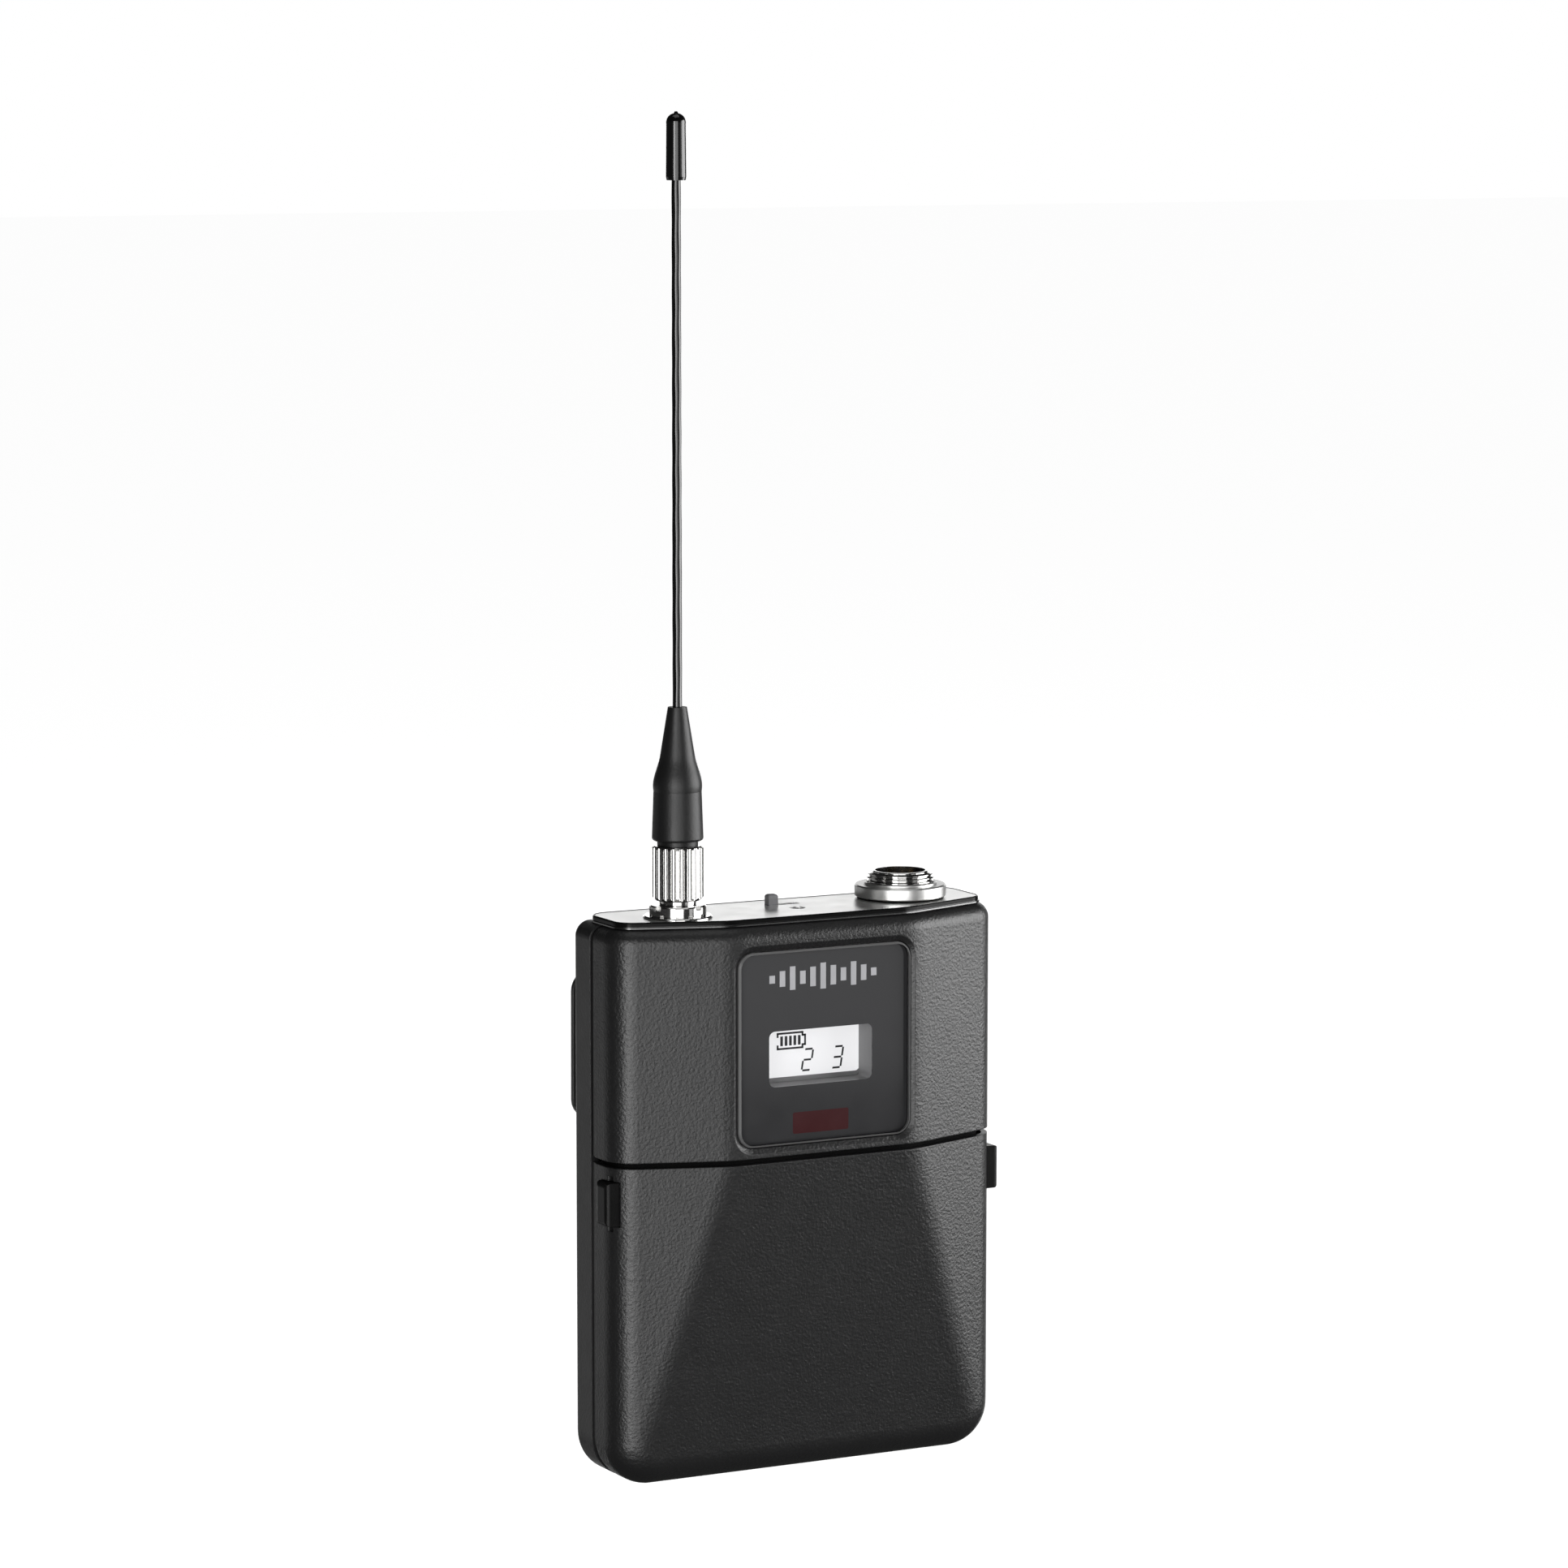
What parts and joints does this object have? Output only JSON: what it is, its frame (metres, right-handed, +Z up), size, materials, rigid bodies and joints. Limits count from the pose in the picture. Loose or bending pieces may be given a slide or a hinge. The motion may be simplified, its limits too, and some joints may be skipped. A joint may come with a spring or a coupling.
{
  "type": "wireless bodypack transmitter",
  "caption": "Belt-worn wireless microphone transmitter: faceted case, hinged battery door with side latches, framed display, whip antenna, threaded microphone socket and rear spring clip.",
  "frame": {"origin": "middle of the foot of the case, on its flat underside", "axes": "+X to the right seen from the display side, +Y towards the belt clip, +Z up along the antenna"},
  "size_m": [0.0682, 0.0298, 0.208],
  "materials": {
    "case_paint": "satin, fine texture",
    "rear_paint": "satin, fine texture",
    "cap_plastic": "satin",
    "silver_plate": "fine satin",
    "lens_glass": "polished",
    "lens_print": "smooth print",
    "lcd_grey": "matte",
    "lcd_white": "smooth",
    "ir_red": "polished",
    "gasket_rubber": "matte",
    "black_plastic": "satin",
    "latch_plastic": "satin",
    "spring_steel": "drawn wire",
    "nickel": "polished with machining marks",
    "insulator": "matte",
    "pcb": "solder mask",
    "components": "matte",
    "contact_brass": "plated",
    "cell_jacket": "printed film",
    "boot_rubber": "matte",
    "whip_sleeve": "gloss",
    "button_rubber": "matte",
    "switch_grey": "satin",
    "light_pipe": "smooth",
    "foam": "open cell",
    "clip_paint": "satin",
    "shield_tin": "tinned"
  },
  "bodies": {
    "pack": {"rear_case": "rear_paint", "front_case": "case_paint", "seam_gasket": "gasket_rubber", "chassis": "gasket_rubber", "hinge_pins": "spring_steel", "battery_tray": "black_plastic", "battery_upper": "cell_jacket", "battery_lower": "cell_jacket", "contact_springs": "spring_steel", "contact_plates": "contact_brass", "control_panel": "black_plastic", "tact_switches": "components", "main_board": "pcb", "board_screws": "spring_steel", "rf_shield_can": "shield_tin", "board_components": "components", "display_lens": "lens_glass", "lens_mask": "lens_print", "lens_gasket": "gasket_rubber", "lcd_bezel": "lcd_grey", "lcd_panel": "lcd_white", "lcd_backlight": "lcd_white", "display_board": "pcb", "ir_filter": "ir_red", "ir_module": "components", "top_cap": "cap_plastic", "top_plate": "silver_plate", "power_switch_body": "black_plastic", "power_light_pipe": "light_pipe", "sma_jack": "nickel", "sma_insulator": "insulator", "sma_contact": "contact_brass", "sma_washer": "nickel", "sma_nut": "nickel", "mic_connector_shell": "nickel", "mic_connector_gasket": "gasket_rubber", "mic_connector_nut": "nickel", "mic_connector_insert": "black_plastic", "mic_connector_pins": "contact_brass", "clip_base": "clip_paint", "clip_screws": "spring_steel", "case_screws": "spring_steel"},
    "door": {"battery_door": "case_paint", "door_pad": "foam", "latch_spring_right": "spring_steel", "latch_spring_left": "spring_steel"},
    "antenna": {"antenna_coupling_nut": "nickel", "antenna_pin": "contact_brass", "antenna_collar": "black_plastic", "antenna_boot": "boot_rubber", "antenna_whip": "whip_sleeve", "antenna_tip": "whip_sleeve"},
    "latch_left": {"latch_left": "latch_plastic"},
    "latch_right": {"latch_right": "latch_plastic"},
    "menu_button": {"menu_button": "button_rubber"},
    "enter_button": {"enter_button": "button_rubber"},
    "power_switch": {"power_switch_stem": "switch_grey"},
    "clip": {"clip_blade": "clip_paint"}
  },
  "joints": [
    {"name": "door_hinge", "type": "hinge", "parent": "pack", "child": "door", "pos_m": [0, 0.0025, 0.00105], "axis": [1, 0, 0], "range_deg": [0, 100]},
    {"name": "latch_left_press", "type": "slide", "parent": "door", "child": "latch_left", "axis": [1, 0, 0], "range_m": [0, 0.001], "stiffness_N_per_m": 40},
    {"name": "latch_right_press", "type": "slide", "parent": "door", "child": "latch_right", "axis": [-1, 0, 0], "range_m": [0, 0.001], "stiffness_N_per_m": 40},
    {"name": "menu_press", "type": "slide", "parent": "pack", "child": "menu_button", "axis": [0, 1, 0], "range_m": [0, 0.0004], "stiffness_N_per_m": 10},
    {"name": "enter_press", "type": "slide", "parent": "pack", "child": "enter_button", "axis": [0, 1, 0], "range_m": [0, 0.0004], "stiffness_N_per_m": 10},
    {"name": "power_switch_slide", "type": "slide", "parent": "pack", "child": "power_switch", "axis": [1, 0, 0], "range_m": [0, 0.0036]},
    {"name": "clip_flex", "type": "hinge", "parent": "pack", "child": "clip", "pos_m": [0, 0.0148, 0.0076], "axis": [-1, 0, 0], "range_deg": [0, 8], "stiffness_Nm_per_rad": 2},
    {"name": "antenna_turn", "type": "hinge", "parent": "pack", "child": "antenna", "pos_m": [-0.0205, -0.0007, 0.0935], "axis": [0, 0, 1], "continuous": true}
  ]
}
